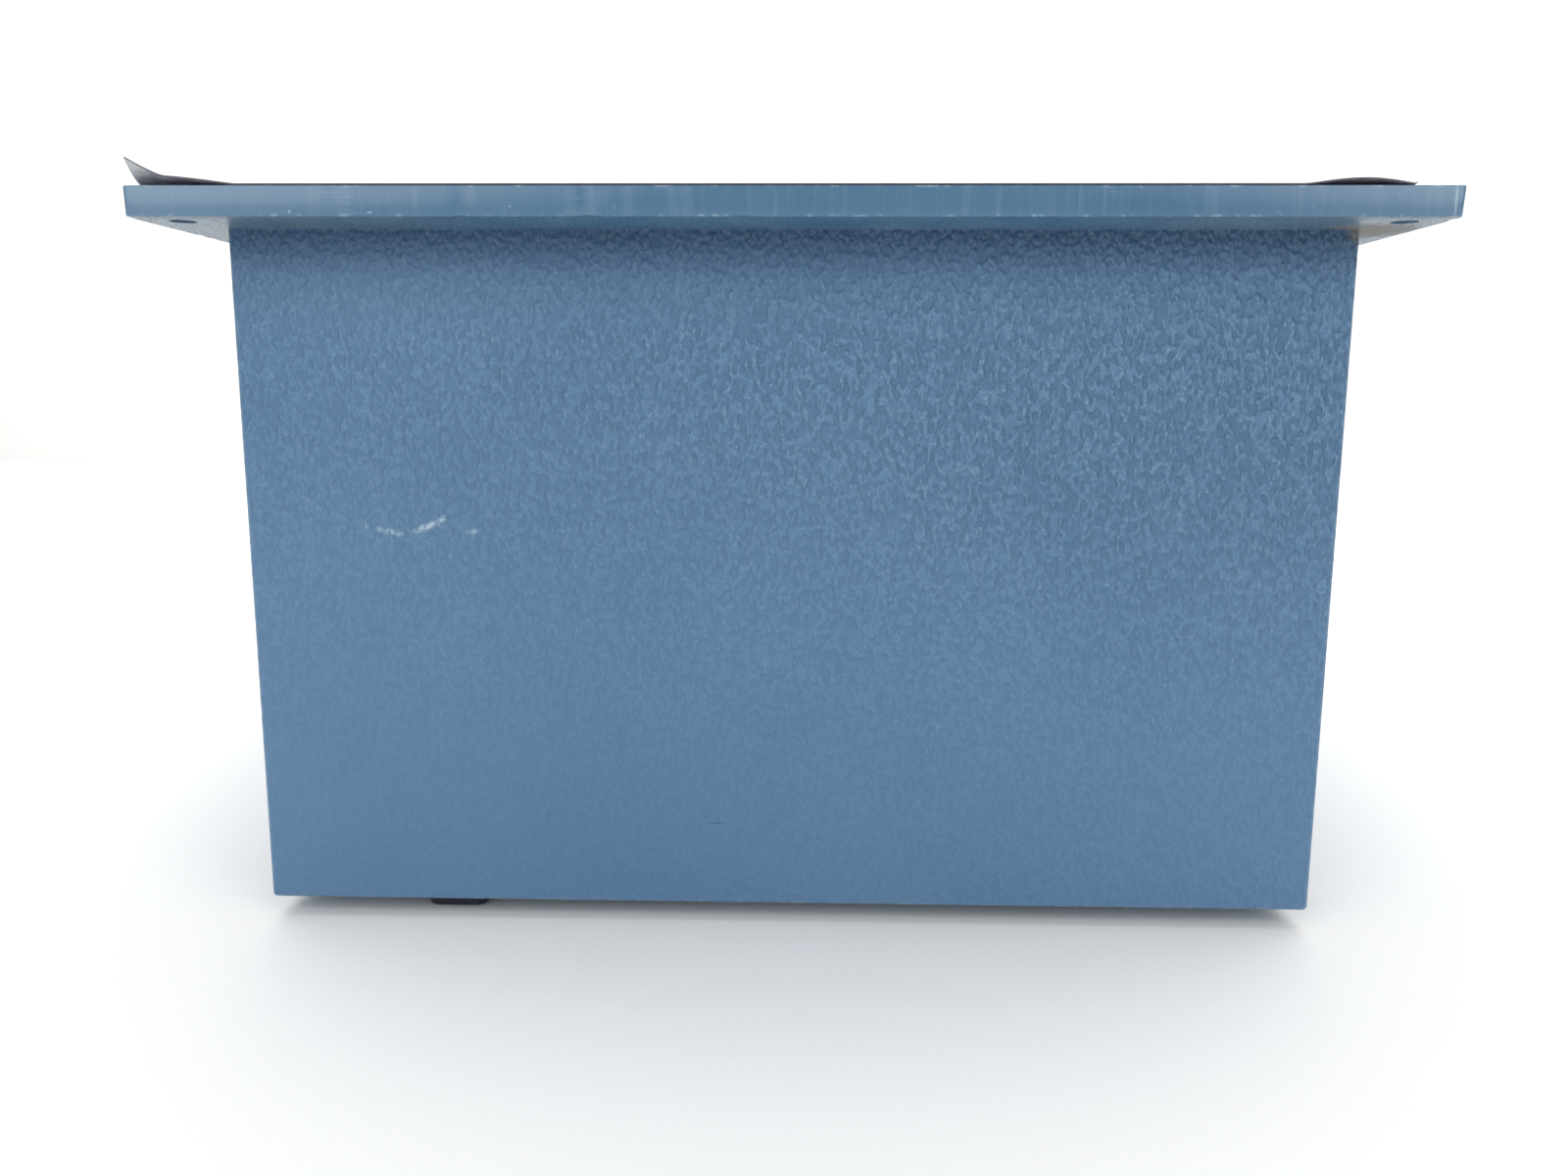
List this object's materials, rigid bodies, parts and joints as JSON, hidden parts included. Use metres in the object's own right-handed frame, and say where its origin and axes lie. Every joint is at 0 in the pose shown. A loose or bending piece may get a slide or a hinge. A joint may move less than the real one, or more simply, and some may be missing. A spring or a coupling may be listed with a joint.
{
  "type": "meter socket enclosure",
  "caption": "Flush meter socket enclosure: deep textured box under an overhanging face plate, with a round meter rim, sealing ring, spring jaws, wire lugs and a lever bypass.",
  "frame": {"origin": "on the surface the wall bosses stand on, under the middle of the face plate", "axes": "+Z out of the front face, +Y along the enclosure's length from the plain supply end to the load end, +X to the right seen from the supply end"},
  "size_m": [0.2794, 0.3556, 0.1825],
  "materials": {
    "blue_paint": "semi-gloss leather-grain texture",
    "plate": "sawn satin edges, smooth underside",
    "film": "thin satin protective film",
    "stainless": "satin",
    "zinc": "bright zinc plate",
    "phenolic": "moulded, fine speckle",
    "tinned": "tin-plated copper",
    "copper": "bare copper bar",
    "lug_aluminium": "extruded, tin-plated",
    "nylon": "moulded nylon",
    "grip": "moulded"
  },
  "bodies": {
    "enclosure": {"box_shell": "blue_paint", "rear_bushing": "nylon", "rear_bushing_nut": "nylon", "support_bracket_left": "zinc", "support_bracket_right": "zinc", "base_screw_1": "zinc", "base_screw_2": "zinc", "base_screw_3": "zinc", "base_screw_4": "zinc", "neutral_post_line": "zinc", "neutral_post_load": "zinc", "jaw_base": "phenolic", "bypass_bearing_left": "phenolic", "bypass_bearing_right": "phenolic", "neutral_bar": "tinned", "line_jaw_left": "tinned", "line_jaw_right": "tinned", "load_jaw_left": "tinned", "load_jaw_right": "tinned", "bypass_spring_left": "stainless", "bypass_spring_right": "stainless", "line_jaw_spring_left": "stainless", "line_jaw_spring_right": "stainless", "load_jaw_spring_left": "stainless", "load_jaw_spring_right": "stainless", "line_strap_left": "copper", "line_strap_right": "copper", "load_strap_left": "copper", "load_strap_right": "copper", "ground_lug": "lug_aluminium", "neutral_lug_line": "lug_aluminium", "neutral_lug_load": "lug_aluminium", "line_lug_left": "lug_aluminium", "line_lug_right": "lug_aluminium", "load_lug_left": "lug_aluminium", "load_lug_right": "lug_aluminium"},
    "cover": {"face_plate": "plate", "face_film": "film", "socket_collar": "stainless", "face_screw_1": "zinc", "face_screw_2": "zinc", "face_screw_3": "zinc", "face_screw_4": "zinc"},
    "ring_left": {"sealing_ring_left": "stainless", "ring_hinge_pin": "stainless"},
    "ring_right": {"sealing_ring_right": "stainless"},
    "latch": {"ring_latch": "stainless"},
    "bypass_lever": {"bypass_shaft": "nylon", "bypass_lever": "zinc", "lever_grip": "grip"},
    "bypass_carriage": {"bypass_carriage": "phenolic", "bypass_contact_left": "tinned", "bypass_contact_right": "tinned"},
    "line_lug_screw_left": {"line_lug_screw_left": "zinc"},
    "line_lug_screw_right": {"line_lug_screw_right": "zinc"},
    "load_lug_screw_left": {"load_lug_screw_left": "zinc"},
    "load_lug_screw_right": {"load_lug_screw_right": "zinc"},
    "neutral_lug_screw_line": {"neutral_lug_screw_line": "zinc"},
    "neutral_lug_screw_load": {"neutral_lug_screw_load": "zinc"},
    "ground_lug_screw": {"ground_lug_screw": "zinc"}
  },
  "joints": [
    {"name": "cover_lift", "type": "slide", "parent": "enclosure", "child": "cover", "axis": [0, 0, 1], "range_m": [0, 0.2]},
    {"name": "ring_left_swing", "type": "hinge", "parent": "cover", "child": "ring_left", "pos_m": [0, -0.0987, 0.17775], "axis": [0, 0, 1], "range_deg": [0, 25]},
    {"name": "ring_right_swing", "type": "hinge", "parent": "cover", "child": "ring_right", "pos_m": [0, -0.0987, 0.17775], "axis": [0, 0, -1], "range_deg": [0, 25]},
    {"name": "latch_swing", "type": "hinge", "parent": "ring_left", "child": "latch", "pos_m": [-0.012, 0.0975, 0.17775], "axis": [0, 0, 1], "range_deg": [0, 110]},
    {"name": "bypass_lever_turn", "type": "hinge", "parent": "enclosure", "child": "bypass_lever", "pos_m": [0, 0, 0.146], "axis": [-1, 0, 0], "range_deg": [0, 100]},
    {"name": "bypass_carriage_slide", "type": "slide", "parent": "enclosure", "child": "bypass_carriage", "axis": [0, 0, -1], "range_m": [0, 0.0044], "deforming": ["bypass_spring_left", "bypass_spring_right"]},
    {"name": "line_lug_screw_left_travel", "type": "slide", "parent": "enclosure", "child": "line_lug_screw_left", "axis": [0, 0, -1], "range_m": [0, 0.013]},
    {"name": "line_lug_screw_right_travel", "type": "slide", "parent": "enclosure", "child": "line_lug_screw_right", "axis": [0, 0, -1], "range_m": [0, 0.013]},
    {"name": "load_lug_screw_left_travel", "type": "slide", "parent": "enclosure", "child": "load_lug_screw_left", "axis": [0, 0, -1], "range_m": [0, 0.013]},
    {"name": "load_lug_screw_right_travel", "type": "slide", "parent": "enclosure", "child": "load_lug_screw_right", "axis": [0, 0, -1], "range_m": [0, 0.013]},
    {"name": "neutral_lug_screw_line_travel", "type": "slide", "parent": "enclosure", "child": "neutral_lug_screw_line", "axis": [0, 0, -1], "range_m": [0, 0.013]},
    {"name": "neutral_lug_screw_load_travel", "type": "slide", "parent": "enclosure", "child": "neutral_lug_screw_load", "axis": [0, 0, -1], "range_m": [0, 0.013]},
    {"name": "ground_lug_screw_travel", "type": "slide", "parent": "enclosure", "child": "ground_lug_screw", "axis": [0, 0, -1], "range_m": [0, 0.0065]}
  ],
  "couplings": [
    {"joint": "bypass_carriage_slide", "follows": "bypass_lever_turn", "m_per_rad": 0.00252}
  ]
}
